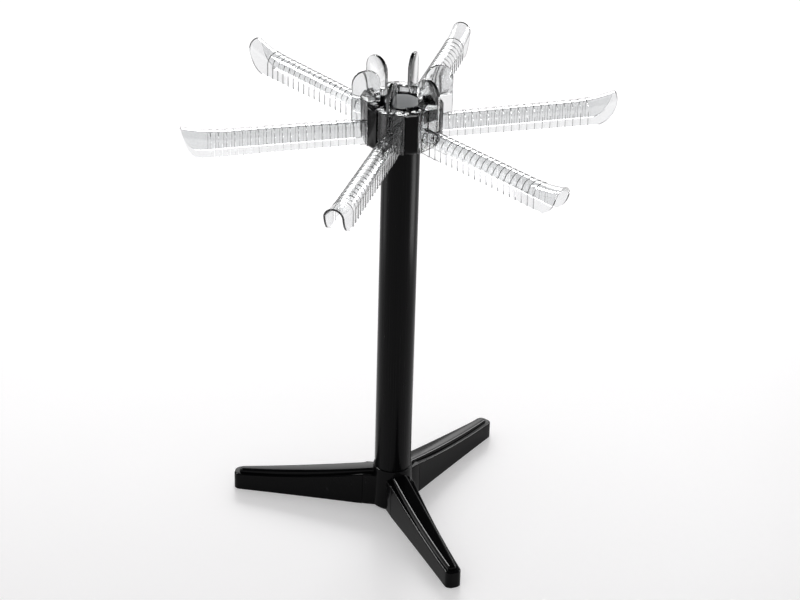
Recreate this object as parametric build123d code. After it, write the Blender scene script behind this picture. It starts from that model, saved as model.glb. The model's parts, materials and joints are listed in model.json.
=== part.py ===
"""Table-top pasta drying rack.

Three legs plug into a boss, the boss carries a tall column, and a hub turns on the column's neck.
Six clear arms drop into the hub from above, and each lifts out by its own finger tab.
The origin is on the column's axis, on the surface that the rack stands on, and +Z is up.
Lengths are in millimetres and angles in degrees.
"""

from build123d import *
import math
import os

# Fits and cuts
push_clearance = 0.1
turn_clearance = 0.08
slide_clearance = 0.25
overrun = 2.0

# Column: a tube with one straight bore, turned down to a spigot at its foot and a long neck on top
column_radius = 17.5
column_length = 348.5
column_edge = 0.4
spigot_step = 1.6
spigot_wall = 1.4
spigot_lead = 0.5
boss_spigot_length = 14.0
neck_recess = 1.5

# Boss: the round foot with a socket for the column and three stubs for the legs
boss_top_radius = 18.5
boss_foot_radius = 20.2
boss_height = 43.0
boss_foot_chamfer = 1.5
boss_rim_round = 0.8
boss_floor = 4.0
boss_deck = 3.5
socket_end_gap = 1.0
stub_width = 25.0
stub_drop = 9.6
stub_reach = 27.5
stub_round = 2.0

# Legs: hollow mouldings, open below, with a raised ridge along the top
leg_names = ("leg_back", "leg_left", "leg_front")
first_leg_angle = 60.0
leg_tip_radius = 155.0
leg_root_width = 24.8
leg_tip_width = 15.2
leg_waist = 0.35
leg_root_drop = 0.4
leg_tip_height = 16.6
leg_sag = 3.0
leg_corner_round = 6.0
leg_edge_round = 1.5
leg_inner_round = 0.6
leg_wall = 2.2
ridge_root_width = 15.0
ridge_tip_width = 7.4
ridge_belly = 1.0
ridge_root_rise = 2.9
ridge_tip_rise = 3.2
ridge_sag = 1.5
ridge_end_gap = 5.0
ridge_corner_round = 3.0
ridge_edge_round = 2.6
leg_rib_count = 3
leg_rib_width = 1.6
leg_rib_lift = 2.0
tongue_width = 15.0
tongue_reach = 10.0
tongue_lead = 1.0

# Hub: six posts on thin webs round a collar, over a floor that the arms stand on
arm_count = 6
first_arm_angle = 21.1
post_face = 36.9
post_width = 11.1
post_head = 3.0
post_edge = 0.5
web_width = 2.4
collar_wall = 2.0
collar_drop = 1.0
hub_height = 40.5
hub_floor = 2.5
hub_round = 8.0

# Arm clip: the block that slides down between two posts
clip_face = 34.7
clip_back = 24.5
clip_height = 38.5
clip_wall = 2.0
clip_corner_round = 1.2
clip_edge = 0.3

# Finger tab: a thin upright fin in the arm's middle plane
tab_inner = 20.5
tab_outer = 46.5
tab_rise = 30.5
tab_width = 3.0
tab_edge = 0.6

# Arm: an arch-shaped channel, open below, with raised ribs and an upswept end
arm_reach = 200.0
arm_root_width = 16.4
arm_tip_width = 18.6
arm_depth = 21.5
arm_wall = 1.8
arm_root_round = 0.8
tip_sweep = 42.0
tip_rise = 6.5
tip_cut = 20.0
rib_start = 44.0
rib_pitch = 7.2
rib_width = 3.0
rib_height = 0.6
tip_bare = 25.0

# Sizes that follow from the ones above
spigot_radius = column_radius - spigot_step
column_bore = spigot_radius - spigot_wall
collar_bore = spigot_radius + turn_clearance
collar_radius = collar_bore + collar_wall
column_top = boss_height + column_length
hub_top = column_top + hub_height
neck_top = hub_top - collar_drop - neck_recess
arm_base = column_top + hub_floor
arm_spring = arm_base + arm_depth - arm_tip_width / 2
clip_top = arm_base + clip_height
tab_top = clip_top + tab_rise
stub_height = boss_height - stub_drop
leg_root_height = stub_height - leg_root_drop
ridge_root_height = stub_height + ridge_root_rise
ridge_tip_height = leg_tip_height + ridge_tip_rise
tongue_top = boss_height - boss_spigot_length - socket_end_gap - boss_deck
knee = arm_reach - tip_sweep
sweep_radius = (tip_sweep**2 + tip_rise**2) / (2 * tip_rise)
leg_step = 360 / len(leg_names)
arm_step = 360 / arm_count


def turned(outline):
    """Revolve a closed outline of (radius, height) points about the column's axis."""
    return revolve(Plane.XZ * make_face(Polyline(*outline, close=True)), Axis.Z)


def upright(face, half_width):
    """Extrude a side-view face, drawn in (radius, height), to both sides of the middle plane."""
    return extrude(Plane.XZ * face, amount=half_width, both=True)


def make_column():
    """The tube, with its spigot, its neck and the shoulders that seat on the boss and under the hub."""
    foot = boss_height - boss_spigot_length
    outline = [
        (column_bore, foot),
        (spigot_radius - spigot_lead, foot),
        (spigot_radius, foot + spigot_lead),
        (spigot_radius, boss_height),
        (column_radius - column_edge, boss_height),
        (column_radius, boss_height + column_edge),
        (column_radius, column_top - column_edge),
        (column_radius - column_edge, column_top),
        (spigot_radius, column_top),
        (spigot_radius, neck_top - spigot_lead),
        (spigot_radius - spigot_lead, neck_top),
        (column_bore, neck_top),
    ]
    return turned(outline)


def stub_block(grow=0.0):
    """One leg stub of the boss, along +X, or the room it takes in a leg when grown by a clearance."""
    length = stub_reach + grow
    height = stub_height + grow
    block = Pos(length / 2, 0, height / 2) * Box(length, stub_width + 2 * grow, height)
    if grow > 0:
        return block
    return fillet(block.edges().filter_by(Axis.Z).sort_by(Axis.X)[-2:], stub_round)


def tongue_block(grow=0.0):
    """The tongue that holds a leg in its stub, or its socket when grown by a clearance."""
    inner = tongue_reach - grow
    outer = stub_reach + leg_wall
    low = boss_floor
    high = tongue_top
    if grow == 0:
        low = low + push_clearance
        high = high - push_clearance
    middle = Pos((inner + outer) / 2, 0, (low + high) / 2)
    block = middle * Box(outer - inner, tongue_width + 2 * grow, high - low)
    if grow > 0:
        return block
    return chamfer(block.faces().sort_by(Axis.X)[0].edges(), tongue_lead)


def boss_cone(grow=0.0):
    """The boss's round body, or the room it takes in a leg when grown by a clearance."""
    cone = Cone(boss_foot_radius + grow, boss_top_radius + grow, boss_height)
    return Pos(0, 0, boss_height / 2) * cone


def make_boss():
    """The foot: a tapering body with stubs, the column's socket from above and the legs' sockets."""
    cone = boss_cone()
    body = chamfer(cone.edges().sort_by(Axis.Z)[0], boss_foot_chamfer)
    body = fillet(body.edges().sort_by(Axis.Z)[-1], boss_rim_round)
    stub = stub_block()
    stub = chamfer(stub.faces().sort_by(Axis.Z)[0].edges(), boss_foot_chamfer)
    for number in range(len(leg_names)):
        body += Rot(0, 0, first_leg_angle + number * leg_step) * stub
    socket_depth = boss_spigot_length + socket_end_gap
    body -= Pos(0, 0, boss_height - socket_depth) * extrude(
        Circle(spigot_radius + push_clearance), amount=socket_depth + overrun
    )
    for number in range(len(leg_names)):
        body -= Rot(0, 0, first_leg_angle + number * leg_step) * tongue_block(push_clearance)
    return body


def along(root_value, tip_value, bulge, radius):
    """The value at a radius of a size that bulges between the stub's end and the leg's tip."""
    share = (radius - stub_reach) / (leg_tip_radius - stub_reach)
    return root_value + (tip_value - root_value) * share + 4 * bulge * share * (1 - share)


def body_width(radius):
    """Width of the leg's body at a radius: it is drawn in a little at the middle."""
    return along(leg_root_width, leg_tip_width, -2 * leg_waist, radius)


def body_height(radius):
    """Height of the leg's body at a radius: its top sags between the boss and the tip."""
    return along(leg_root_height, leg_tip_height, -leg_sag, radius)


def ridge_width(radius):
    """Width of the ridge at a radius: its sides swell outwards."""
    return along(ridge_root_width, ridge_tip_width, 2 * ridge_belly, radius)


def ridge_height(radius):
    """Height of the ridge's top at a radius: it sags less than the body does."""
    return along(ridge_root_height, ridge_tip_height, -ridge_sag, radius)


def bar(start, end, width_at, height_at, inset, foot, corner):
    """A tapering bar along +X, its sides and top shrunk by an inset and its far corners rounded.

    A plan outline is met by a side outline, and each long side is the arc through three places.
    """
    places = (start, (start + end) / 2, end)
    right = [(place, inset - width_at(place) / 2) for place in places]
    left = [(place, width_at(place) / 2 - inset) for place in places]
    top = [(place, height_at(place) - inset) for place in places]
    plan = make_face(
        [
            ThreePointArc(*right),
            Line(right[-1], left[-1]),
            ThreePointArc(*left),
            Line(left[0], right[0]),
        ]
    )
    plan = fillet(plan.vertices().sort_by(Axis.X)[-2:], max(corner - inset, leg_inner_round))
    side = make_face(
        [
            Line((start, foot), (end, foot)),
            Line((end, foot), top[-1]),
            ThreePointArc(*top),
            Line(top[0], (start, foot)),
        ]
    )
    tall = Pos(0, 0, foot) * extrude(plan, amount=height_at(start) - foot + overrun)
    return tall & upright(side, width_at(start))


def leg_body(inset=0.0):
    """The leg's body, or the hollow under it when inset by the wall."""
    start = stub_reach + push_clearance + inset
    end = leg_tip_radius - inset
    foot = -overrun if inset > 0 else 0.0
    return bar(start, end, body_width, body_height, inset, foot, leg_corner_round)


def leg_ridge(inset=0.0):
    """The ridge on top of the leg, or the hollow inside it when inset by the wall."""
    start = boss_top_radius / 2
    if inset > 0:
        start = stub_reach + push_clearance + inset
    end = leg_tip_radius - ridge_end_gap - inset
    return bar(start, end, ridge_width, ridge_height, inset, leg_tip_height / 2, ridge_corner_round)


def top_rim(solid):
    """The edges round a bar's sloping top, all but the one at its root."""
    top = solid.faces().filter_by(lambda face: face.normal_at().Z > 0.5).sort_by(SortBy.AREA)[-1]
    return top.edges().sort_by(Axis.X)[1:]


def make_leg():
    """One leg along +X, with its ridge, its hollow underside, cross ribs and socket tongue."""
    body = fillet(top_rim(leg_body()), leg_edge_round)
    ridge = fillet(top_rim(leg_ridge()), ridge_edge_round)
    leg = body + ridge - boss_cone(push_clearance) - stub_block(push_clearance)
    leg -= leg_body(leg_wall) + leg_ridge(leg_wall)
    rib_limit = leg_body(leg_wall / 2) + leg_ridge(leg_wall / 2)
    bay = (leg_tip_radius - stub_reach) / (leg_rib_count + 1)
    for number in range(leg_rib_count):
        station = stub_reach + bay * (number + 1)
        place = Pos(station, 0, boss_height / 2 + leg_rib_lift)
        leg += place * Box(leg_rib_width, stub_width, boss_height) & rib_limit
    return leg + tongue_block()


def post_section(grow=0.0):
    """One post and its web along +X in plan, grown by a clearance where a clip has to miss it."""
    head_low = post_face - post_head - grow
    head_high = post_face + grow
    head_middle = Pos((head_low + head_high) / 2, 0)
    head = head_middle * Rectangle(head_high - head_low, post_width + 2 * grow)
    web_low = collar_radius - collar_wall / 2
    web_high = post_face - post_head / 2
    web_middle = Pos((web_low + web_high) / 2, 0)
    web = web_middle * Rectangle(web_high - web_low, web_width + 2 * grow)
    return head + web


def make_hub():
    """The arm holder: collar, webs and posts on a floor, with the posts' feet rounded inwards."""
    first_post_angle = arm_step / 2
    hub = Part()
    for number in range(arm_count):
        post = extrude(post_section(), amount=hub_height)
        front = post.edges().group_by(Axis.Z)[-1].sort_by(Axis.X)[-1]
        post = chamfer(front, post_edge)
        hub += Pos(0, 0, column_top) * Rot(0, 0, first_post_angle + number * arm_step) * post
    corner = math.hypot(post_face, post_width / 2)
    envelope = make_face(
        [
            Line((0, column_top), (corner - hub_round, column_top)),
            CenterArc((corner - hub_round, column_top + hub_round), hub_round, 270, 90),
            Line((corner, column_top + hub_round), (corner, hub_top)),
            Line((corner, hub_top), (0, hub_top)),
            Line((0, hub_top), (0, column_top)),
        ]
    )
    hub &= revolve(Plane.XZ * envelope, Axis.Z)
    hub += Pos(0, 0, column_top) * extrude(Circle(corner - hub_round), amount=hub_floor)
    hub += Pos(0, 0, column_top) * extrude(Circle(collar_radius), amount=hub_height - collar_drop)
    hub -= Pos(0, 0, column_top - overrun) * extrude(Circle(collar_bore), amount=hub_height + 2 * overrun)
    return hub


def arch(width, crown, foot):
    """The channel's end view: straight sides under a half-round crown."""
    half = width / 2
    spring = crown - half
    return make_face(
        [
            Line((-half, foot), (half, foot)),
            Line((half, foot), (half, spring)),
            ThreePointArc((half, spring), (0, crown), (-half, spring)),
            Line((-half, spring), (-half, foot)),
        ]
    )


def arm_width(radius):
    """Width of the arm at a radius: it widens evenly as far as the knee."""
    share = min((radius - clip_face) / (knee - clip_face), 1.0)
    return arm_root_width + (arm_tip_width - arm_root_width) * share


def crown_at(radius):
    """Height of the arm's crown at a radius: half its width over a spring line that ends swept up."""
    past = max(radius - knee, 0.0)
    lift = sweep_radius - math.sqrt(sweep_radius**2 - past**2)
    return arm_spring + lift + arm_width(radius) / 2


def channel(inset, foot):
    """The arm's arch from the clip to past its tip, shrunk by an inset."""
    start = clip_face - clip_wall / 2 + inset
    ends = [
        Plane.YZ.offset(radius) * arch(arm_width(radius) - 2 * inset, crown_at(radius) - inset, foot)
        for radius in (start, knee)
    ]
    straight = loft(ends, ruled=True)
    places = (knee, knee + tip_sweep / 2, arm_reach)
    path = Plane.XZ * ThreePointArc(*[(place, crown_at(place)) for place in places])
    return straight + sweep(ends[-1], path=path)


def make_channel():
    """The hollow arch, cut off by a quarter round from the tip down to the underside."""
    low = arm_base - tip_rise - overrun
    shell = channel(0.0, low) - channel(arm_wall, low - overrun)
    apex = crown_at(arm_reach)
    start = clip_face - clip_wall
    end = arm_reach - tip_cut
    envelope = make_face(
        [
            Line((start, arm_base), (end, arm_base)),
            EllipticalCenterArc((end, apex), tip_cut, apex - arm_base, 270, arc_size=90),
            Line((arm_reach, apex), (arm_reach, apex + overrun)),
            Line((arm_reach, apex + overrun), (start, apex + overrun)),
            Line((start, apex + overrun), (start, arm_base)),
        ]
    )
    return shell & upright(envelope, arm_tip_width)


def make_ribs():
    """The raised bands round the arch, bedded in half the wall."""
    count = int((arm_reach - tip_bare - rib_start) / rib_pitch) + 1
    bands = []
    for number in range(count):
        radius = rib_start + number * rib_pitch
        width = arm_width(radius)
        crown = crown_at(radius)
        band = arch(width + 2 * rib_height, crown + rib_height, arm_base)
        band -= arch(width - arm_wall, crown - arm_wall / 2, arm_base - overrun)
        bands.append(Pos(radius, 0, 0) * extrude(Plane.YZ * band, amount=rib_width / 2, both=True))
    return bands


def make_clip():
    """The clip: it fills the space between two posts less the clearance, and is cored from below."""
    plan = Pos((clip_back + clip_face) / 2, 0) * Rectangle(clip_face - clip_back, 2 * post_face)
    for side in (-1, 1):
        plan -= Rot(0, 0, side * arm_step / 2) * post_section(slide_clearance)
    plan = plan.faces().sort_by_distance((clip_face, 0, 0))[0]
    rounded = plan.fillet_2d(clip_corner_round, plan.vertices().sort_by(Axis.X)[-2:])
    block = Pos(0, 0, arm_base) * extrude(rounded, amount=clip_height)
    block = chamfer(block.faces().sort_by(Axis.Z)[-1].edges(), clip_edge)
    core = offset(plan, amount=-clip_wall)
    core -= Pos(clip_face, 0) * Rectangle(2 * clip_face, tab_width)
    return block - Pos(0, 0, arm_base - overrun) * extrude(core, amount=clip_height - clip_wall + overrun)


def make_tab():
    """The finger tab: a round-topped fin that runs on down the clip's face to the arm's crown."""
    middle = (tab_inner + tab_outer) / 2
    radius = (tab_outer - tab_inner) / 2
    spring = tab_top - radius
    gusset_foot = crown_at(clip_face) - arm_wall / 2
    outline = make_face(
        [
            Line((tab_inner, clip_top), (tab_inner, spring)),
            ThreePointArc((tab_inner, spring), (middle, tab_top), (tab_outer, spring)),
            Line((tab_outer, spring), (tab_outer, gusset_foot)),
            Line((tab_outer, gusset_foot), (clip_face - clip_wall, gusset_foot)),
            Line((clip_face - clip_wall, gusset_foot), (clip_face - clip_wall, clip_top)),
            Line((clip_face - clip_wall, clip_top), (tab_inner, clip_top)),
        ]
    )
    fin = upright(outline, tab_width / 2)
    rim = [edge for edge in fin.edges() if edge.center().Z > clip_top + tab_edge]
    return chamfer([edge for edge in rim if abs(edge.center().Y) > 0], tab_edge)


def at_arm_root(edge):
    """Whether an edge lies where the outside of the arch meets the clip's front face."""
    centre = edge.center()
    on_face = abs(centre.X - clip_face) < clip_edge
    on_arch = abs(centre.Y) < arm_root_width / 2 + arm_wall and centre.Z < arm_base + arm_depth
    return on_face and on_arch and centre.Z > arm_base + clip_edge


def make_arm():
    """One clear arm along +X: channel, ribs, clip and finger tab in a single moulding."""
    arm = make_channel() + make_clip()
    arm = fillet(arm.edges().filter_by(at_arm_root), arm_root_round)
    return arm + make_ribs() + make_tab()


def main():
    """Build each piece once, copy the repeated ones round the axis and write one file for each."""
    pieces = {"base_boss": make_boss(), "column": make_column()}
    leg = make_leg()
    for number, name in enumerate(leg_names):
        pieces[name] = Rot(0, 0, first_leg_angle + number * leg_step) * leg
    pieces["hub"] = Rot(0, 0, first_arm_angle) * make_hub()
    arm = make_arm()
    for number in range(arm_count):
        pieces[f"arm_{number + 1}"] = Rot(0, 0, first_arm_angle + number * arm_step) * arm
    os.makedirs("parts", exist_ok=True)
    for name, piece in pieces.items():
        export_step(piece, f"parts/{name}.step")
        print(name, round(piece.volume), "cubic mm,", len(piece.solids()), "solid")


main()
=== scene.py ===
"""Look of the table-top drying rack: finished pieces, materials, table, studio light and camera.

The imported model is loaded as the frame. Every piece is modelled in millimetres in that frame, by one class
for each sub-assembly, and is written into Blender in metres. Radii are measured from the column's axis and
heights from the table.
"""

import json
import logging
import math
from dataclasses import dataclass, field, replace
from enum import Enum
from typing import Iterable, Optional, Sequence

import bmesh
import bpy
from mathutils import Matrix, Vector

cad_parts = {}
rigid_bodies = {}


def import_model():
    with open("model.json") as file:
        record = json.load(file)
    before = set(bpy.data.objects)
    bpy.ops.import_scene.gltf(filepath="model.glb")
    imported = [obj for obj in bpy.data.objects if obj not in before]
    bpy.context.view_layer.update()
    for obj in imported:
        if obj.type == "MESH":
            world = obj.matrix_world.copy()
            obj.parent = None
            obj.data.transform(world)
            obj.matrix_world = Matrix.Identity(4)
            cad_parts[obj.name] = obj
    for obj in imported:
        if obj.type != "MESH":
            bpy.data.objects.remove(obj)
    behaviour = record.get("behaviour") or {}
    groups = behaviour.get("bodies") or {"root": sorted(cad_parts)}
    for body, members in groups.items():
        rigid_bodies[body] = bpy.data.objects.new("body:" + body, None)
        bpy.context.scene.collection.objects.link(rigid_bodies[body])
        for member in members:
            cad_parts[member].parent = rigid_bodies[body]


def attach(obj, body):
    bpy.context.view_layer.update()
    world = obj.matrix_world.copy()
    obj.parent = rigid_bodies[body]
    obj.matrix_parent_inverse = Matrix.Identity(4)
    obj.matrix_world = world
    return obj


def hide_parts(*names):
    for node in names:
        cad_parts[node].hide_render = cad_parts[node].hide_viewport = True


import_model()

log = logging.getLogger("rack")

METRES = 0.001  # one millimetre
REPEAT = 1e-4  # mm; points of a new mesh that lie closer than this are one point
SLIVER = 0.004  # mm; the same after a cut, a join or a rounding
SMOOTH_BEND = 30.0  # degrees; faces that bend less than this shade as one surface
WHITE = (1.0, 1.0, 1.0, 1.0)
BLACK = (0.0, 0.0, 0.0, 1.0)
ORIGIN = (0.0, 0.0)

Point2 = tuple[float, float]
Point3 = tuple[float, float, float]
Colour = tuple[float, float, float, float]
Socket = bpy.types.NodeSocket


class Body(Enum):
    """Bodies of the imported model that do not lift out; each arm is a body of its own."""

    STAND = "stand"
    HUB = "hub"


class Slot(Enum):
    """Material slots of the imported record."""

    GLOSS = "black_gloss"
    TUBE = "black_tube"
    HUB = "black_hub"
    CLEAR = "clear_arm"


class Mating(Enum):
    """How one closed mesh is worked into another."""

    JOIN = "UNION"
    REMOVE = "DIFFERENCE"
    SHARE = "INTERSECT"


# Shapes


def on_circle(centre: Point2, radius: float, start: float, sweep: float, steps: int) -> list[Point2]:
    """Points in equal steps along an arc, from a start angle through a sweep, both in degrees."""
    angles = [math.radians(start + sweep * step / steps) for step in range(steps + 1)]
    return [(centre[0] + radius * math.cos(a), centre[1] + radius * math.sin(a)) for a in angles]


def strip(near: float, far: float, half_width: float) -> list[Point2]:
    """Corners of a straight strip along +X, from a near end to a far end."""
    return [(near, -half_width), (far, -half_width), (far, half_width), (near, half_width)]


def inset(outline: Sequence[Point2], distances: Sequence[float]) -> list[Point2]:
    """Move each side of an outline inwards by its own distance.

    Args:
        outline: Corners, anticlockwise.
        distances: One distance for each side, the first for the side that starts at the first corner.

    Returns:
        The corners of the smaller outline, in the same order.
    """
    lines = []
    for index, start in enumerate(outline):
        end = outline[(index + 1) % len(outline)]
        along = Vector((end[0] - start[0], end[1] - start[1])).normalized()
        inwards = Vector((-along.y, along.x))
        lines.append((Vector(start) + inwards * distances[index], along))
    corners = []
    for index, (point, along) in enumerate(lines):
        before, before_along = lines[index - 1]
        cross = before_along.x * along.y - before_along.y * along.x
        gap = point - before
        corner = before + before_along * ((gap.x * along.y - gap.y * along.x) / cross)
        corners.append((corner.x, corner.y))
    return corners


def put_in_scene(name: str, data: bpy.types.ID) -> bpy.types.Object:
    """Make an object from its data and link it to the scene.

    Args:
        name: Name of the object.
        data: Mesh, lamp or camera.

    Returns:
        The object.
    """
    thing = bpy.data.objects.new(name, data)
    bpy.context.scene.collection.objects.link(thing)
    return thing


@dataclass
class Shape:
    """A closed mesh in millimetres, in the frame's axes."""

    piece: bpy.types.Object

    @classmethod
    def from_faces(cls, name: str, points: Iterable[Point3], faces: Iterable[Sequence[int]]) -> "Shape":
        """Make a shape from its points and faces.

        Args:
            name: Name of the piece.
            points: Corner points.
            faces: Point numbers of each face.

        Returns:
            The shape, with repeated points merged and its faces turned outwards.
        """
        mesh = bpy.data.meshes.new(name)
        mesh.from_pydata(list(points), [], [tuple(face) for face in faces])
        work = bmesh.new()
        work.from_mesh(mesh)
        bmesh.ops.remove_doubles(work, verts=work.verts, dist=REPEAT)
        bmesh.ops.dissolve_degenerate(work, edges=work.edges, dist=REPEAT)
        bmesh.ops.recalc_face_normals(work, faces=work.faces)
        work.to_mesh(mesh)
        work.free()
        return cls(put_in_scene(name, mesh))

    @classmethod
    def stack(cls, name: str, rings: Sequence[Sequence[Point3]], closed: bool = False) -> "Shape":
        """Skin a row of rings that have the same number of points.

        Args:
            name: Name of the piece.
            rings: Rings of points, each one closed.
            closed: True joins the last ring to the first; otherwise each end gets one flat face.

        Returns:
            The closed shape.
        """
        count = len(rings[0])
        points = [point for ring in rings for point in ring]
        faces = []
        for ring in range(len(rings) if closed else len(rings) - 1):
            low = ring * count
            high = ((ring + 1) % len(rings)) * count
            for index in range(count):
                after = (index + 1) % count
                faces.append((low + index, low + after, high + after, high + index))
        if not closed:
            faces.append(tuple(reversed(range(count))))
            faces.append(tuple(range((len(rings) - 1) * count, len(rings) * count)))
        return cls.from_faces(name, points, faces)

    @classmethod
    def prism(cls, name: str, outline: Sequence[Point2], low: float, high: float) -> "Shape":
        """Raise a plan outline from one height to another."""
        return cls.stack(name, [[(x, y, z) for x, y in outline] for z in (low, high)])

    @classmethod
    def side_prism(cls, name: str, outline: Sequence[Point2], half_width: float) -> "Shape":
        """Widen a side view, drawn in (radius, height), to both sides of the XZ plane."""
        return cls.stack(name, [[(x, y, z) for x, z in outline] for y in (-half_width, half_width)])

    @classmethod
    def lathe(cls, name: str, outline: Sequence[Point2], segments: int) -> "Shape":
        """Turn a half section about the Z axis.

        Args:
            name: Name of the piece.
            outline: Closed outline of (radius, height) points.
            segments: Number of flat segments round the axis.

        Returns:
            The closed shape.
        """
        rings = []
        for segment in range(segments):
            angle = math.tau * segment / segments
            rings.append([(r * math.cos(angle), r * math.sin(angle), z) for r, z in outline])
        return cls.stack(name, rings, closed=True)

    def apply_modifiers(self) -> None:
        """Replace the mesh by what its modifiers make of it, without the slivers that they leave."""
        graph = bpy.context.evaluated_depsgraph_get()
        old = self.piece.data
        self.piece.data = bpy.data.meshes.new_from_object(self.piece.evaluated_get(graph))
        self.piece.modifiers.clear()
        bpy.data.meshes.remove(old)
        work = bmesh.new()
        work.from_mesh(self.piece.data)
        bmesh.ops.remove_doubles(work, verts=work.verts, dist=SLIVER)
        bmesh.ops.dissolve_degenerate(work, edges=work.edges, dist=SLIVER)
        work.to_mesh(self.piece.data)
        work.free()

    def mate(self, tool: "Shape", mating: Mating) -> "Shape":
        """Work another closed shape into this one and use it up.

        Args:
            tool: The other shape, which is removed afterwards.
            mating: Whether it is joined, cut away, or only what both share is kept.

        Returns:
            This shape.
        """
        step = self.piece.modifiers.new("mate", "BOOLEAN")
        step.operation = mating.value
        step.solver = "EXACT"
        step.object = tool.piece
        self.apply_modifiers()
        tool.discard()
        return self

    def soften(self, width: float, segments: int = 3, angle: float = 35.0) -> "Shape":
        """Round the edges that are sharper than an angle.

        Args:
            width: Width of the rounding along each face, in millimetres.
            segments: Number of facets across it.
            angle: Smallest bend in degrees that counts as an edge.

        Returns:
            This shape.
        """
        step = self.piece.modifiers.new("soften", "BEVEL")
        step.width = width
        step.segments = segments
        step.limit_method = "ANGLE"
        step.angle_limit = math.radians(angle)
        step.use_clamp_overlap = True
        step.miter_outer = "MITER_ARC"
        self.apply_modifiers()
        return self

    def turn(self, angle: float) -> "Shape":
        """Turn this shape about the Z axis by an angle in degrees, and return it."""
        self.piece.data.transform(Matrix.Rotation(math.radians(angle), 4, "Z"))
        return self

    def turned(self, name: str, angle: float) -> "Shape":
        """Copy this shape and turn the copy about the Z axis.

        Args:
            name: Name of the copy.
            angle: Angle in degrees.

        Returns:
            The copy.
        """
        mesh = self.piece.data.copy()
        mesh.name = name
        return Shape(put_in_scene(name, mesh)).turn(angle)

    def discard(self) -> None:
        """Remove the shape."""
        mesh = self.piece.data
        bpy.data.objects.remove(self.piece)
        bpy.data.meshes.remove(mesh)

    def finish(self, material: bpy.types.Material, body: str, slot: Slot, node: str) -> None:
        """Bring the shape to metres, dress it, and let it stand for its CAD node.

        Args:
            material: Its finish.
            body: The body that it rides on.
            slot: The record's material slot; not used.
            node: The CAD node that it replaces.
        """
        mesh = self.piece.data
        mesh.transform(Matrix.Scale(METRES, 4))
        mesh.shade_smooth()
        mesh.set_sharp_from_angle(angle=math.radians(SMOOTH_BEND))
        mesh.materials.clear()
        mesh.materials.append(material)
        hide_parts(node)
        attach(self.piece, body)
        log.info("%s: %d faces on %s", self.piece.name, len(mesh.polygons), body)


# Materials


def linear(colour: str) -> Colour:
    """Turn an sRGB colour into a linear one.

    Args:
        colour: Hex value such as #1A1B1C.

    Returns:
        Red, green and blue by the sRGB standard's curve, with full alpha.
    """
    channels = []
    for start in (1, 3, 5):
        value = int(colour[start:start + 2], 16) / 255
        channels.append(value / 12.92 if value <= 0.04045 else ((value + 0.055) / 1.055) ** 2.4)
    return (channels[0], channels[1], channels[2], 1.0)


def add_node(
    tree: bpy.types.NodeTree, kind: str, inputs: Optional[dict] = None, **settings: object
) -> bpy.types.Node:
    """Add a node with its settings and links.

    Args:
        tree: The node tree.
        kind: Type of the node.
        inputs: Values or output sockets, by input name or number.
        **settings: Properties of the node.

    Returns:
        The node.
    """
    node = tree.nodes.new(kind)
    for name, value in settings.items():
        setattr(node, name, value)
    for name, value in (inputs or {}).items():
        if isinstance(value, Socket):
            tree.links.new(value, node.inputs[name])
        else:
            node.inputs[name].default_value = value
    return node


def per_mm(size: float) -> float:
    """Texture scale that gives a pattern its size in millimetres, on coordinates in metres."""
    return 1.0 / (size * METRES)


def start_material(name: str) -> tuple[bpy.types.Material, bpy.types.NodeTree, Socket]:
    """Make a material that knows only its place on the object.

    Args:
        name: Name of the material.

    Returns:
        The material, its node tree, and the object's own coordinates in metres.
    """
    material = bpy.data.materials.new(name)
    material.use_nodes = True
    tree = material.node_tree
    tree.nodes.clear()
    return material, tree, add_node(tree, "ShaderNodeTexCoord").outputs["Object"]


@dataclass(frozen=True)
class MouldedAbs:
    """Black ABS, injection moulded in a polished tool.

    To the eye it is a deep black gloss. A faint orange peel bends its reflections, and use has dulled it a
    little in soft clouds and fine specks. Pattern sizes and heights are in millimetres.
    """

    name: str = "moulded_black_abs"
    colour: str = "#060607"
    dull_colour: str = "#0D0D0E"
    ior: float = 1.53
    specular: float = 0.08
    roughness_low: float = 0.07
    roughness_high: float = 0.17
    peel_size: float = 3.2
    peel_height: float = 0.004
    cloud_size: float = 26.0
    speck_size: float = 0.9
    worn_low: float = 0.12
    worn_high: float = 0.42

    def build(self) -> bpy.types.Material:
        """Make the material.

        Returns:
            The material.
        """
        material, tree, place = start_material(self.name)
        cloud, speck, peel = (
            add_node(tree, "ShaderNodeTexNoise", {"Vector": place, "Scale": per_mm(size), "Detail": detail})
            for size, detail in ((self.cloud_size, 4.0), (self.speck_size, 2.0), (self.peel_size, 1.0))
        )
        worn = add_node(tree, "ShaderNodeMath", {
            0: cloud.outputs["Fac"], 1: speck.outputs["Fac"],
        }, operation="MULTIPLY")
        spread = add_node(tree, "ShaderNodeMapRange", {
            "Value": worn.outputs[0], "From Min": self.worn_low, "From Max": self.worn_high,
            "To Min": self.roughness_low, "To Max": self.roughness_high,
        })
        tint = add_node(tree, "ShaderNodeMix", {
            "Factor": worn.outputs[0], 6: linear(self.colour), 7: linear(self.dull_colour),
        }, data_type="RGBA")
        bump = add_node(tree, "ShaderNodeBump", {
            "Height": peel.outputs["Fac"], "Strength": 1.0, "Distance": self.peel_height * METRES,
        })
        shader = add_node(tree, "ShaderNodeBsdfPrincipled", {
            "Base Color": tint.outputs[2], "Roughness": spread.outputs["Result"], "IOR": self.ior,
            "Specular IOR Level": self.specular, "Normal": bump.outputs["Normal"],
        })
        add_node(tree, "ShaderNodeOutputMaterial", {"Surface": shader.outputs["BSDF"]})
        return material


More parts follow.
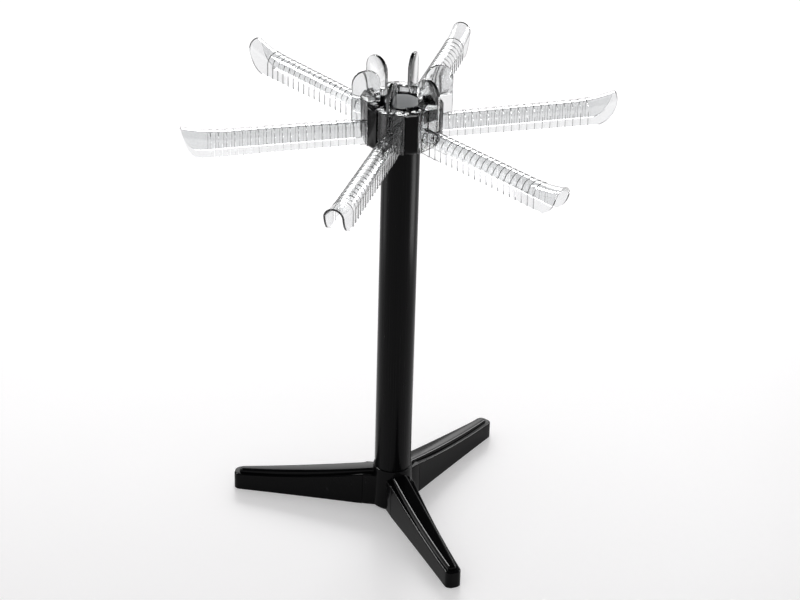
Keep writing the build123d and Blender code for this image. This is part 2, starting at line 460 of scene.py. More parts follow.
@dataclass(frozen=True)
class DrawnTube:
    """Aluminium tube, drawn and then coated black outside.

    To the eye it is a satin black whose die lines break the reflection into upright streaks. The coating
    stops at the tube's ends, so the bore and the cut rim show bare, dull metal. Sizes are in millimetres.
    """

    name: str = "drawn_aluminium_black_coat"
    colour: str = "#060607"
    line_colour: str = "#0E0E0F"
    bare_colour: str = "#E2E3E4"
    bare_metallic: float = 0.2
    specular: float = 0.08
    roughness_low: float = 0.14
    roughness_high: float = 0.34
    bare_roughness: float = 0.6
    bare_radius: float = 15.7
    line_size: float = 1.6
    line_length: float = 130.0
    line_height: float = 0.012
    line_low: float = 0.3
    line_high: float = 0.7

    def build(self) -> bpy.types.Material:
        """Make the material.

        Returns:
            The material.
        """
        material, tree, place = start_material(self.name)
        stretched = add_node(tree, "ShaderNodeMapping", {
            "Vector": place, "Scale": (1.0, 1.0, self.line_size / self.line_length),
        })
        lines = add_node(tree, "ShaderNodeTexNoise", {
            "Vector": stretched.outputs["Vector"], "Scale": per_mm(self.line_size), "Detail": 3.0,
        })
        spread = add_node(tree, "ShaderNodeMapRange", {
            "Value": lines.outputs["Fac"], "From Min": self.line_low, "From Max": self.line_high,
            "To Min": self.roughness_low, "To Max": self.roughness_high,
        })
        coat = add_node(tree, "ShaderNodeMix", {
            "Factor": lines.outputs["Fac"], 6: linear(self.colour), 7: linear(self.line_colour),
        }, data_type="RGBA")
        level = add_node(tree, "ShaderNodeVectorMath", {0: place, 1: (1.0, 1.0, 0.0)}, operation="MULTIPLY")
        radius = add_node(tree, "ShaderNodeVectorMath", {0: level.outputs[0]}, operation="LENGTH")
        bare = add_node(tree, "ShaderNodeMath", {
            0: radius.outputs["Value"], 1: self.bare_radius * METRES,
        }, operation="LESS_THAN").outputs[0]
        tint = add_node(tree, "ShaderNodeMix", {
            "Factor": bare, 6: coat.outputs[2], 7: linear(self.bare_colour),
        }, data_type="RGBA")
        sheen = add_node(tree, "ShaderNodeMix", {
            "Factor": bare, 2: spread.outputs["Result"], 3: self.bare_roughness,
        }, data_type="FLOAT")
        dull = add_node(tree, "ShaderNodeMath", {0: bare, 1: self.bare_metallic}, operation="MULTIPLY")
        bump = add_node(tree, "ShaderNodeBump", {
            "Height": lines.outputs["Fac"], "Strength": 1.0, "Distance": self.line_height * METRES,
        })
        shader = add_node(tree, "ShaderNodeBsdfPrincipled", {
            "Base Color": tint.outputs[2], "Metallic": dull.outputs[0], "Roughness": sheen.outputs[0],
            "Specular IOR Level": self.specular, "Normal": bump.outputs["Normal"],
        })
        add_node(tree, "ShaderNodeOutputMaterial", {"Surface": shader.outputs["BSDF"]})
        return material


@dataclass(frozen=True)
class ClearStyrene:
    """Clear styrene plastic, injection moulded.

    To the eye it is clear, and greyer the more of it there is to look through. Light scuffs dull it in
    places, and slow waves from the melt's flow bend what shows behind it. Sizes are in millimetres, and the
    density is per millimetre.
    """

    name: str = "moulded_clear_styrene"
    colour: str = "#FBFCFC"
    scuff_colour: str = "#F0F1F2"
    depth_colour: str = "#1A1B1D"
    density: float = 0.05
    ior: float = 1.57
    roughness_low: float = 0.015
    roughness_high: float = 0.07
    wave_size: float = 9.0
    wave_height: float = 0.008
    scuff_size: float = 2.4
    scuff_low: float = 0.35
    scuff_high: float = 0.75

    def build(self) -> bpy.types.Material:
        """Make the material.

        Returns:
            The material.
        """
        material, tree, place = start_material(self.name)
        scuff, wave = (
            add_node(tree, "ShaderNodeTexNoise", {"Vector": place, "Scale": per_mm(size), "Detail": detail})
            for size, detail in ((self.scuff_size, 5.0), (self.wave_size, 1.0))
        )
        spread = add_node(tree, "ShaderNodeMapRange", {
            "Value": scuff.outputs["Fac"], "From Min": self.scuff_low, "From Max": self.scuff_high,
            "To Min": self.roughness_low, "To Max": self.roughness_high,
        })
        tint = add_node(tree, "ShaderNodeMix", {
            "Factor": scuff.outputs["Fac"], 6: linear(self.colour), 7: linear(self.scuff_colour),
        }, data_type="RGBA")
        bump = add_node(tree, "ShaderNodeBump", {
            "Height": wave.outputs["Fac"], "Strength": 1.0, "Distance": self.wave_height * METRES,
        })
        shader = add_node(tree, "ShaderNodeBsdfPrincipled", {
            "Base Color": tint.outputs[2], "Roughness": spread.outputs["Result"], "IOR": self.ior,
            "Transmission Weight": 1.0, "Normal": bump.outputs["Normal"],
        })
        depth = add_node(tree, "ShaderNodeVolumeAbsorption", {
            "Color": linear(self.depth_colour), "Density": self.density / METRES,
        })
        add_node(tree, "ShaderNodeOutputMaterial", {
            "Surface": shader.outputs["BSDF"], "Volume": depth.outputs["Volume"],
        })
        return material


@dataclass(frozen=True)
class GlossyTable:
    """White lacquered table top.

    To the eye it is an even white with a soft shadow and a faint mirror image. Its glow lights nothing; it
    only lifts the white that shows behind the object. The cloud size is in millimetres.
    """

    name: str = "lacquered_white_table"
    colour: str = "#F4F2F3"
    far_colour: str = "#F8F7F8"
    ior: float = 1.5
    specular: float = 0.15
    roughness: float = 0.25
    cloud_size: float = 210.0
    glow: float = 0.21

    def build(self) -> bpy.types.Material:
        """Make the material.

        Returns:
            The material.
        """
        material, tree, place = start_material(self.name)
        cloud = add_node(tree, "ShaderNodeTexNoise", {
            "Vector": place, "Scale": per_mm(self.cloud_size), "Detail": 2.0,
        })
        tint = add_node(tree, "ShaderNodeMix", {
            "Factor": cloud.outputs["Fac"], 6: linear(self.colour), 7: linear(self.far_colour),
        }, data_type="RGBA")
        shader = add_node(tree, "ShaderNodeBsdfPrincipled", {
            "Base Color": tint.outputs[2], "Roughness": self.roughness, "IOR": self.ior,
            "Specular IOR Level": self.specular,
        })
        glow = add_node(tree, "ShaderNodeEmission", {"Color": WHITE, "Strength": self.glow})
        dark = add_node(tree, "ShaderNodeEmission", {"Color": BLACK, "Strength": 0.0})
        lift = add_node(tree, "ShaderNodeMixShader", {
            0: seen_by_eye(tree), 1: dark.outputs[0], 2: glow.outputs[0],
        })
        total = add_node(tree, "ShaderNodeAddShader", {0: shader.outputs["BSDF"], 1: lift.outputs[0]})
        add_node(tree, "ShaderNodeOutputMaterial", {"Surface": total.outputs[0]})
        return material


def seen_by_eye(tree: bpy.types.NodeTree) -> Socket:
    """Tell the rays that show the background from those that only carry light.

    Args:
        tree: The node tree that asks.

    Returns:
        One for a ray straight from the camera, mirrored, or through the clear plastic, otherwise zero.
    """
    path = add_node(tree, "ShaderNodeLightPath").outputs
    seen = path["Is Camera Ray"]
    for kind in ("Is Glossy Ray", "Is Transmission Ray"):
        seen = add_node(tree, "ShaderNodeMath", {0: seen, 1: path[kind]}, operation="MAXIMUM").outputs[0]
    return seen


# Sub-assemblies


@dataclass
class Column:
    """The tall tube: one straight bore, a spigot turned at the foot and a long neck turned on top."""

    radius: float = 17.5
    bore: float = 14.5
    low: float = 43.0
    high: float = 391.5
    edge: float = 0.5
    edge_steps: int = 4
    spigot_radius: float = 15.9
    spigot_lead: float = 0.5
    foot_spigot: float = 14.0
    neck: float = 38.0
    segments: int = 144

    def outline(self) -> list[Point2]:
        """Draw the tube's half section.

        Returns:
            Points from the foot's bore outwards and up.
        """
        foot = self.low - self.foot_spigot
        tip = self.high + self.neck
        middle = self.radius - self.edge
        return [
            (self.bore, foot),
            (self.spigot_radius - self.spigot_lead, foot),
            (self.spigot_radius, foot + self.spigot_lead),
            (self.spigot_radius, self.low),
            *on_circle((middle, self.low + self.edge), self.edge, 270, 90, self.edge_steps),
            *on_circle((middle, self.high - self.edge), self.edge, 0, 90, self.edge_steps),
            (self.spigot_radius, self.high),
            (self.spigot_radius, tip - self.spigot_lead),
            (self.spigot_radius - self.spigot_lead, tip),
            (self.bore, tip),
        ]

    def build(self, finish: bpy.types.Material) -> None:
        """Make the tube and dress it."""
        tube = Shape.lathe("column_tube", self.outline(), self.segments)
        tube.finish(finish, Body.STAND.value, Slot.TUBE, "column")


@dataclass
class Boss:
    """The round foot of the column with a stub for each leg."""

    top_radius: float = 18.5
    foot_radius: float = 20.2
    height: float = 43.0
    foot_edge: float = 1.5
    rim_round: float = 0.8
    rim_steps: int = 5
    socket_radius: float = 16.0
    socket_floor: float = 28.0
    stub_width: float = 25.0
    stub_height: float = 33.4
    stub_reach: float = 27.5
    stub_edge: float = 0.8
    tongue_width: float = 15.2
    tongue_inner: float = 9.9
    tongue_low: float = 4.0
    tongue_high: float = 24.5
    overrun: float = 2.0
    segments: int = 144
    leg_angles: tuple[float, ...] = (60.0, 180.0, 300.0)

    def outline(self) -> list[Point2]:
        """Draw the half section of the round body, which tapers a little from its foot to its rim.

        Returns:
            Points from the middle of the underside outwards and up.
        """
        rim = (self.top_radius - self.rim_round, self.height - self.rim_round)
        return [
            (0.0, 0.0),
            (self.foot_radius - self.foot_edge, 0.0),
            (self.foot_radius, self.foot_edge),
            *on_circle(rim, self.rim_round, 0, 90, self.rim_steps),
            (0.0, self.height),
        ]

    def cone(self, grow: float) -> Shape:
        """Make the round body without its edges, to cut with.

        Args:
            grow: How far it is larger than the body.

        Returns:
            A cone that is longer than the body at both ends.
        """
        slope = (self.foot_radius - self.top_radius) / self.height
        outline = [
            (0.0, -self.height),
            (self.foot_radius + grow + slope * self.height, -self.height),
            (self.top_radius + grow - slope * self.height, 2 * self.height),
            (0.0, 2 * self.height),
        ]
        return Shape.lathe("cone", outline, self.segments)

    def stub(self, angle: float) -> Shape:
        """Make one stub, rounded and turned to its leg's angle in degrees."""
        outline = strip(0.0, self.stub_reach, self.stub_width / 2)
        return Shape.prism("stub", outline, 0.0, self.stub_height).soften(self.stub_edge).turn(angle)

    def tongue_room(self, angle: float) -> Shape:
        """Make the room that a leg's tongue takes in its stub, turned to the leg's angle in degrees."""
        outline = strip(self.tongue_inner, self.stub_reach + self.overrun, self.tongue_width / 2)
        return Shape.prism("tongue_room", outline, self.tongue_low, self.tongue_high).turn(angle)

    def build(self, finish: bpy.types.Material) -> None:
        """Make the boss and dress it.

        Args:
            finish: Its material.
        """
        body = Shape.lathe("boss_body", self.outline(), self.segments)
        for angle in self.leg_angles:
            body.mate(self.stub(angle), Mating.JOIN)
        rim = on_circle(ORIGIN, self.socket_radius, 0, 360, self.segments)[:-1]
        socket = Shape.prism("socket", rim, self.socket_floor, self.height + self.overrun)
        body.mate(socket, Mating.REMOVE)
        for angle in self.leg_angles:
            body.mate(self.tongue_room(angle), Mating.REMOVE)
        body.finish(finish, Body.STAND.value, Slot.GLOSS, "base_boss")


@dataclass
class Taper:
    """A size that goes from one value at the stub's end to another at the leg's tip, with a bulge between."""

    root: float
    tip: float
    bulge: float = 0.0
    near: float = 27.5
    far: float = 155.0

    def at(self, radius: float) -> float:
        """The size at a radius, with the bulge at its full height half way along."""
        share = (radius - self.near) / (self.far - self.near)
        return self.root + (self.tip - self.root) * share + 4 * self.bulge * share * (1 - share)


@dataclass
class TaperedBar:
    """A bar along +X that narrows and sinks towards its far end, with every upper edge rounded.

    The depth is how far its sides and its top are set in from the sizes that the tapers give.
    """

    start: float
    end: float
    foot: float
    width: Taper
    height: Taper
    corner: float
    edge: float
    depth: float = 0.0
    side_steps: int = 28
    corner_steps: int = 10
    edge_steps: int = 6

    def room(self, depth: float, foot: float, smallest: float) -> "TaperedBar":
        """Lay out the hollow in the bar.

        Args:
            depth: How far the hollow is set in from the bar's outside.
            foot: Height that it starts from.
            smallest: Least radius of its corners; its upper edge keeps at least half of that.

        Returns:
            The hollow as a smaller bar.
        """
        return replace(
            self,
            start=self.start + depth,
            end=self.end - depth,
            foot=foot,
            corner=max(self.corner - depth, smallest),
            edge=max(self.edge - depth, smallest / 2),
            depth=depth,
        )

    def half_outline(self) -> list[tuple[Vector, Vector]]:
        """Follow one side of the bar's plan.

        Returns:
            Points with their outward directions, from the near end to the far end's middle.
        """
        points = []
        last = self.end - self.corner
        for step in range(self.side_steps):
            x = self.start + (last - self.start) * step / self.side_steps
            points.append((Vector((x, self.width.at(x) / 2 - self.depth)), Vector((0, 1))))
        centre = Vector((last, self.width.at(last) / 2 - self.depth - self.corner))
        for outwards in map(Vector, on_circle(ORIGIN, 1.0, 90, -90, self.corner_steps)):
            points.append((centre + outwards * self.corner, outwards))
        points.append((Vector((self.end, 0.0)), Vector((1, 0))))
        return points

    def build(self, name: str) -> Shape:
        """Make the bar as rings that step in round the upper edge, with cross strips over the top.

        Args:
            name: Name of the piece.

        Returns:
            The closed bar.
        """
        half = self.half_outline()
        steps = [(0.0, None)]
        for x, y in on_circle(ORIGIN, 1.0, 0, 90, self.edge_steps):
            steps.append((self.edge * (1 - x), self.edge * (1 - y)))
        points: list[Point3] = []
        for inwards, below in steps:
            ring = []
            for point, outwards in half:
                place = point - outwards * inwards
                height = self.foot if below is None else self.height.at(place.x) - self.depth - below
                ring.append((place.x, place.y, height))
            points.extend(ring + [(x, -y, z) for x, y, z in reversed(ring[:-1])])
        count = 2 * len(half) - 1
        top = (len(steps) - 1) * count
        faces = []
        for low in range(0, top, count):
            for index in range(count):
                after = (index + 1) % count
                faces.append((low + index, low + after, low + count + after, low + count + index))
        for start, flip in ((0, True), (top, False)):
            for index in range(len(half) - 1):
                far = start + count - 1 - index
                across = (start + index, start + index + 1, far - 1, far)
                faces.append(across if flip else tuple(reversed(across)))
        return Shape.from_faces(name, points, faces)


@dataclass
class Leg:
    """One leg along +X: tapering body, ridge, hollow underside with cross ribs, and its tongue."""

    tip: float = 155.0
    width: Taper = field(default_factory=lambda: Taper(24.8, 15.2, -0.7))
    height: Taper = field(default_factory=lambda: Taper(33.0, 16.6, -3.0))
    corner: float = 6.0
    edge: float = 1.5
    wall: float = 2.2
    ridge_start: float = 14.0
    ridge_width: Taper = field(default_factory=lambda: Taper(15.0, 7.4, 2.0))
    ridge_height: Taper = field(default_factory=lambda: Taper(36.3, 19.8, -1.5))
    ridge_foot: float = 8.3
    ridge_gap: float = 5.0
    ridge_corner: float = 3.0
    ridge_edge: float = 2.6
    inner_round: float = 0.6
    clearance: float = 0.1
    rib_count: int = 3
    rib_width: float = 1.6
    rib_lift: float = 2.0
    overrun: float = 2.0
    rib_blank_top: float = 60.0

    def body(self, start: float) -> TaperedBar:
        """Lay out the body, from where it starts to the tip."""
        return TaperedBar(start, self.tip, 0.0, self.width, self.height, self.corner, self.edge)

    def ridge(self, start: float) -> TaperedBar:
        """Lay out the ridge, from where it starts to short of the tip."""
        sizes = (self.ridge_foot, self.ridge_width, self.ridge_height, self.ridge_corner, self.ridge_edge)
        return TaperedBar(start, self.tip - self.ridge_gap, *sizes)

    def hollow(self, root: float, depth: float) -> Shape:
        """Make the room inside the body and the ridge.

        Args:
            root: Where the leg's body starts.
            depth: How far the room is set in from the leg's outside.

        Returns:
            One closed shape.
        """
        room = self.body(root).room(depth, -self.overrun, self.inner_round).build("room")
        ridge = self.ridge(root).room(depth, self.ridge_foot, self.inner_round).build("ridge_room")
        return room.mate(ridge, Mating.JOIN)

    def ribs(self, root: float) -> list[Shape]:
        """Make the cross ribs, which end inside the wall.

        Args:
            root: Where the leg's body starts.

        Returns:
            One shape for each rib.
        """
        room = self.hollow(root, self.wall / 2)
        ribs = []
        for number in range(self.rib_count):
            station = root + (self.tip - root) * (number + 1) / (self.rib_count + 1)
            outline = strip(station - self.rib_width / 2, station + self.rib_width / 2, self.width.root)
            rib = Shape.prism("rib", outline, self.rib_lift, self.rib_blank_top)
            ribs.append(rib.mate(room.turned("room_copy", 0.0), Mating.SHARE))
        room.discard()
        return ribs

    def make(self, boss: Boss) -> Shape:
        """Make the leg along +X.

        Args:
            boss: What it plugs into.

        Returns:
            The leg.
        """
        slack = self.clearance
        root = boss.stub_reach + slack
        leg = self.body(root).build("leg")
        leg.mate(self.ridge(self.ridge_start).build("ridge"), Mating.JOIN)
        leg.mate(boss.cone(slack), Mating.REMOVE)
        plan = strip(0.0, root, boss.stub_width)
        leg.mate(Shape.prism("stub_room", plan, -self.overrun, boss.stub_height + slack), Mating.REMOVE)
        leg.mate(self.hollow(root, self.wall), Mating.REMOVE)
        for rib in self.ribs(root):
            leg.mate(rib, Mating.JOIN)
        plan = strip(boss.tongue_inner + slack, root + self.wall, boss.tongue_width / 2 - slack)
        tongue = Shape.prism("tongue", plan, boss.tongue_low + slack, boss.tongue_high - slack)
        return leg.mate(tongue, Mating.JOIN)

    def build(self, names: Sequence[str], boss: Boss, finish: bpy.types.Material) -> None:
        """Make one leg, copy it round the boss and dress the copies.

        Args:
            names: CAD nodes of the legs.
            boss: What they plug into.
            finish: Their material.
        """
        pattern = self.make(boss)
        for name, angle in zip(names, boss.leg_angles):
            pattern.turned(f"{name}_moulding", angle).finish(finish, Body.STAND.value, Slot.GLOSS, name)
        pattern.discard()


@dataclass
class Hub:
    """The arm holder: posts on thin webs round a collar, over a floor."""

    low: float = 391.5
    height: float = 40.5
    floor: float = 2.5
    bore: float = 15.98
    collar: float = 17.98
    collar_drop: float = 1.0
    web_width: float = 2.4
    post_face: float = 36.9
    post_width: float = 11.1
    post_head: float = 3.0
    foot_round: float = 8.0
    foot_steps: int = 10
    edge: float = 0.45
    first_post: float = 51.1
    count: int = 6
    segments: int = 144

    @property
    def top(self) -> float:
        """Height of the posts' tops."""
        return self.low + self.height

    @property
    def corner(self) -> float:
        """Radius of a post's front corners."""
        return math.hypot(self.post_face, self.post_width / 2)

    def post(self) -> Shape:
        """Make one post with its web along +X.

        Returns:
            The post, as tall as the hub.
        """
        half, web = self.post_width / 2, self.web_width / 2
        back = self.post_face - self.post_head
        inner = (self.bore + self.collar) / 2
        side = [(inner, -web), (back, -web), (back, -half), (self.post_face, -half)]
        return Shape.prism("post", side + [(x, -y) for x, y in reversed(side)], self.low, self.top)

    def envelope(self) -> Shape:
        """Make the round body that the posts are kept within.

        Returns:
            The body, with its lower edge rounded off.
        """
        centre = (self.corner - self.foot_round, self.low + self.foot_round)
        outline = [
            (0.0, self.low),
            *on_circle(centre, self.foot_round, 270, 90, self.foot_steps),
            (self.corner, self.top),
            (0.0, self.top),
        ]
        return Shape.lathe("envelope", outline, self.segments)

    def disc(self, radius: float, low: float, high: float) -> Shape:
        """Make a round disc about the axis, from one height to another."""
        return Shape.prism("disc", on_circle(ORIGIN, radius, 0, 360, self.segments)[:-1], low, high)

    def build(self, finish: bpy.types.Material) -> None:
        """Make the hub and dress it.

        Args:
            finish: Its material.
        """
        post = self.post()
        hub = self.disc(self.collar, self.low, self.top - self.collar_drop)
        for number in range(self.count):
            hub.mate(post.turned("post", self.first_post + 360 * number / self.count), Mating.JOIN)
        post.discard()
        hub.mate(self.envelope(), Mating.SHARE)
        hub.mate(self.disc(self.corner - self.foot_round, self.low, self.low + self.floor), Mating.JOIN)
        hub.mate(self.disc(self.bore, self.low - self.foot_round, self.top + self.foot_round), Mating.REMOVE)
        hub.piece.name = "hub_moulding"
        hub.soften(self.edge)
        hub.finish(finish, Body.HUB.value, Slot.HUB, "hub")


@dataclass
class Arm:
    """One clear arm along +X: ribbed arch, scooped tip, clip block and finger tab in a single moulding."""

    base: float = 394.0
    reach: float = 200.0
    root_width: float = 16.4
    tip_width: float = 18.6
    spring: float = 406.2
    wall: float = 1.8
    sweep: float = 42.0
    rise: float = 6.5
    tip_cut: float = 20.0
    rib_start: float = 44.0
    rib_pitch: float = 7.2
    rib_width: float = 3.0
    rib_height: float = 0.6
    rib_ramp: float = 0.3
    tip_bare: float = 25.0
    clip_face: float = 34.7
    clip_back: float = 24.5
    clip_height: float = 38.5
    clip_wall: float = 2.0
    clip_round: float = 1.2
    clip_edge: float = 0.35
    root_round: float = 0.8
    clearance: float = 0.25
    tab_inner: float = 20.5
    tab_outer: float = 46.5
    tab_rise: float = 30.5
    tab_width: float = 3.0
    tab_edge: float = 0.6
    edge_angle: float = 50.0
    first_arm: float = 21.1
    count: int = 6
    arch_steps: int = 16
    side_steps: int = 4
    tip_steps: int = 26
    root_steps: int = 5
    clip_steps: int = 8
    tab_steps: int = 36

    @property
    def knee(self) -> float:
        """Radius where the arm starts to sweep up."""
        return self.reach - self.sweep

    @property
    def clip_top(self) -> float:
        """Height of the clip's top."""
        return self.base + self.clip_height

    def lift(self, radius: float) -> float:
        """Work out how far the sweep, an arc from the knee to the tip, has raised the arm.

        Args:
            radius: Where along the arm.

        Returns:
            The rise there, which is nothing up to the knee.
        """
        bend = (self.sweep**2 + self.rise**2) / (2 * self.rise)
        past = max(radius - self.knee, 0.0)
        return bend - math.sqrt(bend**2 - past**2)

    def half_width(self, radius: float) -> float:
        """Half the arm's outer width at a radius."""
        share = min((radius - self.clip_face) / (self.knee - self.clip_face), 1.0)
        return (self.root_width + (self.tip_width - self.root_width) * share) / 2

    def foot(self, radius: float) -> float:
        """Find the arch's lower edge, which a quarter round lifts at the tip.

        Args:
            radius: Where along the arm.

        Returns:
            Height of the edge.
        """
        apex = self.spring + self.rise + self.tip_width / 2
        share = max(radius - (self.reach - self.tip_cut), 0.0) / self.tip_cut
        return apex - (apex - self.base) * math.sqrt(max(1 - share**2, 0.0))

    def half_arch(self, radius: float, grow: float) -> list[Point2]:
        """Follow the arch from the crown down one side.

        Args:
            radius: Where the arm is cut.
            grow: How far the arch lies outside the arm's plain surface.

        Returns:
            Points (offset, height), closed up along the lower edge where that is higher than the arch.
        """
        half = self.half_width(radius) + grow
        spring = self.spring + self.lift(radius)
        foot = self.foot(radius)
        reach = math.acos(min(max((foot - spring) / half, 0.0), 1.0))
        points = []
        for step in range(self.arch_steps + 1):
            angle = reach * step / self.arch_steps
            points.append((half * math.sin(angle), max(spring + half * math.cos(angle), foot)))
        last_offset, last_height = points[-1]
        for step in range(1, self.side_steps + 1):
            points.append((last_offset, last_height + (foot - last_height) * step / self.side_steps))
        return points

    def ring(self, radius: float, raised: float) -> list[Point3]:
        """Draw the arch's full section.

        Args:
            radius: Where the arm is cut.
            raised: How far its outside is raised there.

        Returns:
            Points over the outside, then back along the inside.
        """
        outer = self.half_arch(radius, raised)
        inner = self.half_arch(radius, -self.wall)
        over = [(y, z) for y, z in reversed(outer)] + [(-y, z) for y, z in outer[1:]]
        back = [(-y, z) for y, z in reversed(inner)] + [(y, z) for y, z in inner[1:]]
        return [(radius, y, z) for y, z in over + back]

    def stations(self) -> list[tuple[float, float]]:
        """List where the arch is cut: round its root, at the edges of every rib, and along the tip.

        Returns:
            Radii along the arm, each with how far the surface is raised there.
        """
        half, ramp = self.rib_width / 2, self.rib_ramp
        stations = [(self.clip_face - self.clip_wall / 2, self.root_round)]
        for x, y in on_circle(ORIGIN, 1.0, 0, 90, self.root_steps):
            stations.append((self.clip_face + self.root_round * (1 - x), self.root_round * (1 - y)))
        rib = self.rib_start
        while rib <= self.reach - self.tip_bare:
            stations += [
                (rib - half, 0.0),
                (rib - half + ramp, self.rib_height),
                (rib + half - ramp, self.rib_height),
                (rib + half, 0.0),
            ]
            rib += self.rib_pitch
        tip = self.reach - self.tip_cut
        curve = on_circle(ORIGIN, 1.0, 0, 90, self.tip_steps)
        return stations + [(tip + self.tip_cut * y, 0.0) for _, y in curve]

    def post_point(self, radius: float, offset: float) -> Point2:
        """Bring a point of the post beside the arm into the arm's plan.

        Args:
            radius: How far out the point lies along the post's middle line.
            offset: How far it lies to the side of that line.

        Returns:
            Its place in the plan, with the arm along +X.
        """
        step = math.radians(180 / self.count)
        x, y = math.cos(step), math.sin(step)
        return (radius * x - offset * y, radius * y + offset * x)

    def half_clip(self, hub: Hub, rounded: bool) -> list[Point2]:
        """Draw half of the clip's plan, on the +Y side, anticlockwise from the front face's middle.

        Args:
            hub: The posts that the clip slides between.
            rounded: Whether the front corner is rounded or left sharp.

        Returns:
            The points, with both ends on the X axis.
        """
        side = -hub.post_width / 2 - self.clearance
        web = -hub.web_width / 2 - self.clearance
        back = hub.post_face - hub.post_head - self.clearance
        lip = self.post_point(back, side)
        neck = self.post_point(back, web)
        front_near = self.post_point(hub.post_face, side)
        slope = (front_near[1] - lip[1]) / (front_near[0] - lip[0])
        inner = self.post_point(hub.collar, web)
        web_slope = (neck[1] - inner[1]) / (neck[0] - inner[0])
        corner = lip[1] + slope * (self.clip_face - lip[0])
        wedge = 90 - math.degrees(math.atan(slope))
        middle = (
            self.clip_face - self.clip_round,
            corner - self.clip_round / math.tan(math.radians(wedge / 2)),
        )
        front = [(self.clip_face, corner)]
        if rounded:
            front = on_circle(middle, self.clip_round, 0, 180 - wedge, self.clip_steps)
        return [
            (self.clip_face, 0.0),
            *front,
            lip,
            neck,
            (self.clip_back, neck[1] - web_slope * (neck[0] - self.clip_back)),
            (self.clip_back, 0.0),
        ]

    def clip(self, hub: Hub) -> Shape:
        """Make the block that slides down between two posts, cored from below on both sides of its web.

        Args:
            hub: The posts that it slides between.

        Returns:
            The block.
        """
        half = self.half_clip(hub, rounded=True)
        mirrored = [(x, -y) for x, y in reversed(half)]
        block = Shape.prism("clip", half[1:-1] + mirrored[1:-1], self.base, self.clip_top)
        block.soften(self.clip_edge, segments=2, angle=self.edge_angle)
        web = self.tab_width / 2
        sharp = self.half_clip(hub, rounded=False)
        core = [(self.clip_face, web), *sharp[1:-1], (self.clip_back, web)]
        pocket = inset(core, [self.clip_wall] * (len(core) - 1) + [0.0])
        for side in (1, -1):
            outline = [(x, side * y) for x, y in pocket]
            room = Shape.prism("pocket", outline, self.base - self.clip_wall, self.clip_top - self.clip_wall)
            block.mate(room, Mating.REMOVE)
        return block

    def tab(self) -> Shape:
        """Make the finger tab, which runs on down the clip's face to the arm's crown.

        Returns:
            The tab.
        """
        middle = (self.tab_inner + self.tab_outer) / 2
        radius = (self.tab_outer - self.tab_inner) / 2
        spring = self.clip_top + self.tab_rise - radius
        foot = self.spring + self.half_width(self.tab_outer) - self.wall / 2
        behind = self.clip_face - self.clip_wall
        outline = [
            *on_circle((middle, spring), radius, 0, 180, self.tab_steps),
            (self.tab_inner, self.clip_top),
            (behind, self.clip_top),
            (behind, foot),
            (self.tab_outer, foot),
        ]
        tab = Shape.side_prism("tab", outline, self.tab_width / 2)
        return tab.soften(self.tab_edge, angle=self.edge_angle)

    def make(self, hub: Hub) -> Shape:
        """Make the whole arm along +X, with a clip that fits the hub's posts."""
        arm = Shape.stack("arm", [self.ring(radius, raised) for radius, raised in self.stations()])
        return arm.mate(self.clip(hub), Mating.JOIN).mate(self.tab(), Mating.JOIN)

    def build(self, hub: Hub, finish: bpy.types.Material) -> None:
        """Make one arm, copy it round the hub and dress the copies.

        Args:
            hub: What holds them.
            finish: Their material.
        """
        pattern = self.make(hub)
        for number in range(self.count):
            node = f"arm_{number + 1}"
            copy = pattern.turned(f"{node}_moulding", self.first_arm + 360 * number / self.count)
            copy.finish(finish, node, Slot.CLEAR, node)
        pattern.discard()


# Table, light and camera


@dataclass
class Softbox:
    """One flat lamp panel that looks at the rack, in metres and watts.

    One that is mirrored only shows in the rack's gloss and adds no other light.
    """

    name: str
    place: Point3
    target: Point3
    width: float
    height: float
    power: float
    mirrored_only: bool = False

    def build(self, rack: bpy.types.Collection) -> None:
        """Hang the lamp.

        Args:
            rack: The rack's pieces.
        """
        data = bpy.data.lights.new(self.name, "AREA")
        data.shape = "RECTANGLE"
        data.size = self.width
        data.size_y = self.height
        data.energy = self.power
        lamp = put_in_scene(self.name, data)
        lamp.location = self.place
        aim = Vector(self.target) - Vector(self.place)
        lamp.rotation_euler = aim.to_track_quat("-Z", "Y").to_euler()
        lamp.visible_camera = False
        if self.mirrored_only:
            lamp.visible_diffuse = False
            lamp.light_linking.receiver_collection = rack


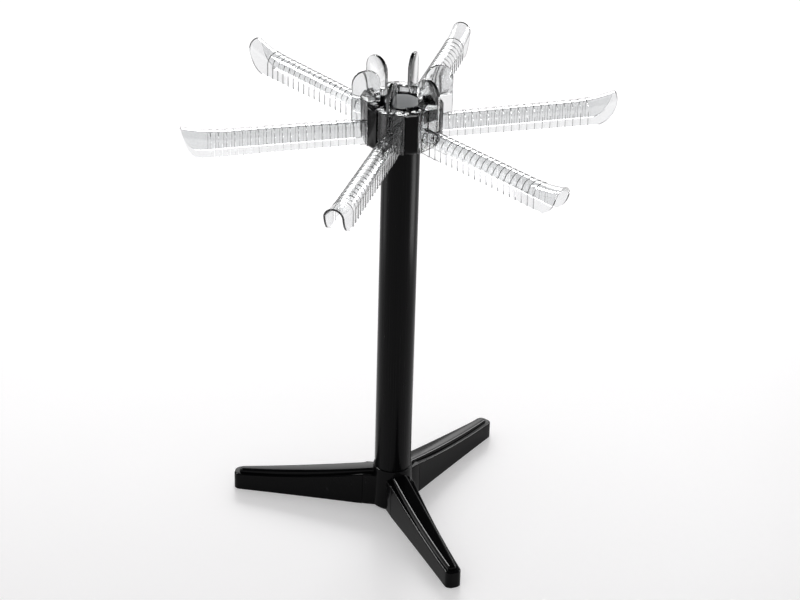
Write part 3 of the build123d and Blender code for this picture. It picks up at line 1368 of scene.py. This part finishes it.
@dataclass
class Studio:
    """White table, white surround and soft panels, in metres.

    Gloss and clear plastic see the surround as a room. Its wall is bright up to wall_top and fades into a dim
    ceiling by ceiling_foot, and both are heights on a unit sphere of directions.
    """

    table_size: float = 14.0
    fill: float = 0.55
    wall: float = 1.0
    ceiling: float = 0.06
    wall_top: float = 0.2
    ceiling_foot: float = 0.62
    softboxes: list[Softbox] = field(
        default_factory=lambda: [
            Softbox("panel_back", (-0.35, 2.3, 1.28), (0.0, 0.0, 0.2), 1.9, 0.85, 25.0),
            Softbox("box_left", (-1.2, 0.5, 1.42), (0.0, 0.0, 0.1), 0.5, 0.5, 39.0, True),
            Softbox("box_right", (1.0, 0.93, 0.76), (0.0, 0.0, 0.1), 0.4, 0.4, 15.0, True),
            Softbox("card_right", (0.574, 0.034, 0.138), (0.027, -0.022, 0.413), 0.3, 0.24, 1.5, True),
            Softbox("card_left", (-0.55, -0.06, 0.138), (0.0, 0.0, 0.42), 0.24, 0.24, 0.3, True),
        ]
    )

    def table(self) -> None:
        """Lay the table top."""
        half = self.table_size / 2
        mesh = bpy.data.meshes.new("table_top")
        mesh.from_pydata([(x, y, 0.0) for x, y in strip(-half, half, half)], [], [(0, 1, 2, 3)])
        mesh.materials.append(GlossyTable().build())
        put_in_scene("table_top", mesh)

    def surround(self) -> None:
        """Make the surround: a room where it is seen, and an even fill for plain surfaces."""
        world = bpy.data.worlds.new("surround")
        world.use_nodes = True
        tree = world.node_tree
        tree.nodes.clear()
        ahead = add_node(tree, "ShaderNodeTexCoord").outputs["Generated"]
        parts = add_node(tree, "ShaderNodeSeparateXYZ", {0: ahead})
        room = add_node(tree, "ShaderNodeMapRange", {
            "Value": parts.outputs["Z"], "From Min": self.wall_top, "From Max": self.ceiling_foot,
            "To Min": self.wall, "To Max": self.ceiling,
        }, interpolation_type="SMOOTHSTEP")
        strength = add_node(tree, "ShaderNodeMix", {
            "Factor": seen_by_eye(tree), 2: self.fill, 3: room.outputs["Result"],
        }, data_type="FLOAT")
        sky = add_node(tree, "ShaderNodeBackground", {"Color": WHITE, "Strength": strength.outputs[0]})
        add_node(tree, "ShaderNodeOutputWorld", {"Surface": sky.outputs[0]})
        bpy.context.scene.world = world

    def build(self) -> None:
        """Set up table, surround and lamps round the finished pieces."""
        rack = bpy.data.collections.new("rack")
        for piece in bpy.context.scene.objects:
            if piece.type == "MESH":
                rack.objects.link(piece)
        self.table()
        self.surround()
        for softbox in self.softboxes:
            softbox.build(rack)


@dataclass
class PhotoCamera:
    """The photograph's viewpoint, from a fit of the arm tips, the hub, the column and the legs.

    Lengths are in metres and angles in degrees. The direction is given by where the camera stands, seen from
    the middle of the arm tips, and by how its line of sight and its upright differ from that.
    """

    distance: float = 2.4335
    tips_height: float = 0.422
    azimuth: float = -82.96
    elevation: float = 26.13
    pitch: float = 30.16
    yaw: float = 0.05
    roll: float = 1.54
    focal_pixels: float = 2710.8
    centre_pixel: Point2 = (399.0, 300.0)
    picture: Point2 = (800.0, 600.0)
    sensor: float = 36.0
    farthest: float = 50.0

    def axes(self) -> Matrix:
        """Work out how the camera is turned.

        Returns:
            Its right, up and backward directions, as columns.
        """
        heading = math.radians(self.azimuth) + math.pi - math.radians(self.yaw)
        pitch, roll = math.radians(self.pitch), math.radians(self.roll)
        level = math.cos(pitch)
        ahead = Vector((math.cos(heading) * level, math.sin(heading) * level, -math.sin(pitch)))
        right = ahead.cross(Vector((0, 0, 1))).normalized()
        up = right.cross(ahead)
        tilted_right = right * math.cos(roll) + up * math.sin(roll)
        tilted_up = up * math.cos(roll) - right * math.sin(roll)
        return Matrix((tilted_right, tilted_up, -ahead)).transposed()

    def build(self) -> None:
        """Place the camera."""
        azimuth, elevation = math.radians(self.azimuth), math.radians(self.elevation)
        level = self.distance * math.cos(elevation)
        height = self.tips_height + self.distance * math.sin(elevation)
        place = Vector((level * math.cos(azimuth), level * math.sin(azimuth), height))
        across, down = self.picture
        data = bpy.data.cameras.new("photo_camera")
        data.sensor_width = self.sensor
        data.lens = self.focal_pixels / across * self.sensor
        data.shift_x = (across / 2 - self.centre_pixel[0]) / across
        data.shift_y = (self.centre_pixel[1] - down / 2) / across
        data.clip_end = self.farthest
        camera = put_in_scene("photo_camera", data)
        camera.matrix_world = Matrix.Translation(place) @ self.axes().to_4x4()
        bpy.context.scene.camera = camera


def main() -> None:
    """Build the rack, its table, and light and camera."""
    logging.basicConfig(level=logging.INFO, format="%(message)s")
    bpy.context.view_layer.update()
    bpy.context.scene.view_settings.view_transform = "Standard"
    gloss = MouldedAbs().build()
    hub_gloss = MouldedAbs(name="moulded_black_abs_hub").build()
    boss = Boss()
    boss.build(gloss)
    Leg().build(("leg_back", "leg_left", "leg_front"), boss, gloss)
    Column().build(DrawnTube().build())
    hub = Hub()
    hub.build(hub_gloss)
    Arm().build(hub, ClearStyrene().build())
    Studio().build()
    PhotoCamera().build()


if __name__ == "__main__":
    main()
